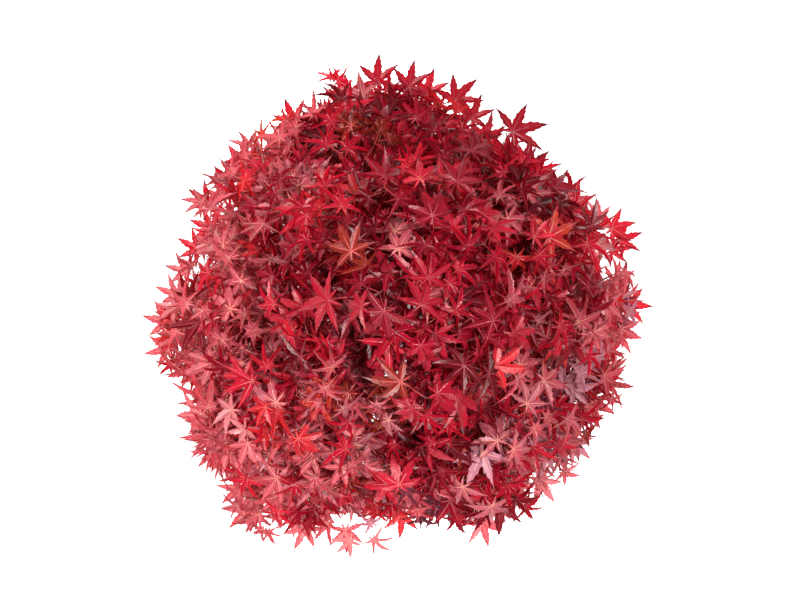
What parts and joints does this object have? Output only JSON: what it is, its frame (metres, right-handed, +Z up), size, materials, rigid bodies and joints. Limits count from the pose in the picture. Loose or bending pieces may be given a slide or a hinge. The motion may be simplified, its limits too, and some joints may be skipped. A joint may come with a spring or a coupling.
{
  "type": "japanese maple tree",
  "caption": "Young Japanese maple in red leaf: a short leaning trunk with a root flare, tapering boughs and a round dome of star-shaped leaves, cut flat at the ground.",
  "frame": {"origin": "centre of the flat cut under the trunk, at ground level", "axes": "+Z up along the tree's height; +X and +Y level, with no front"},
  "size_m": [0.8384, 0.8043, 1.0642],
  "materials": {
    "bark": "matt, finely fissured bark",
    "young_bark": "smooth, satin",
    "leaf_crimson": "thin leaf, satin",
    "leaf_red": "thin leaf, satin",
    "leaf_rose": "thin leaf, satin"
  },
  "bodies": {
    "root": {"trunk": "bark", "leader": "young_bark", "bough_east": "young_bark", "bough_north_east": "young_bark", "bough_north": "young_bark", "bough_west": "young_bark", "bough_south_west": "young_bark", "bough_south": "young_bark", "bough_south_east": "young_bark", "bough_upper_east": "young_bark", "bough_upper_north": "young_bark", "bough_upper_west": "young_bark", "bough_upper_south": "young_bark", "foliage_east": "leaf_red", "foliage_north_east": "leaf_crimson", "foliage_north": "leaf_crimson", "foliage_west": "leaf_red", "foliage_south_west": "leaf_rose", "foliage_south": "leaf_rose", "foliage_south_east": "leaf_rose", "foliage_upper_east": "leaf_crimson", "foliage_upper_north": "leaf_crimson", "foliage_upper_west": "leaf_red", "foliage_upper_south": "leaf_red", "foliage_top": "leaf_crimson"}
  },
  "joints": []
}
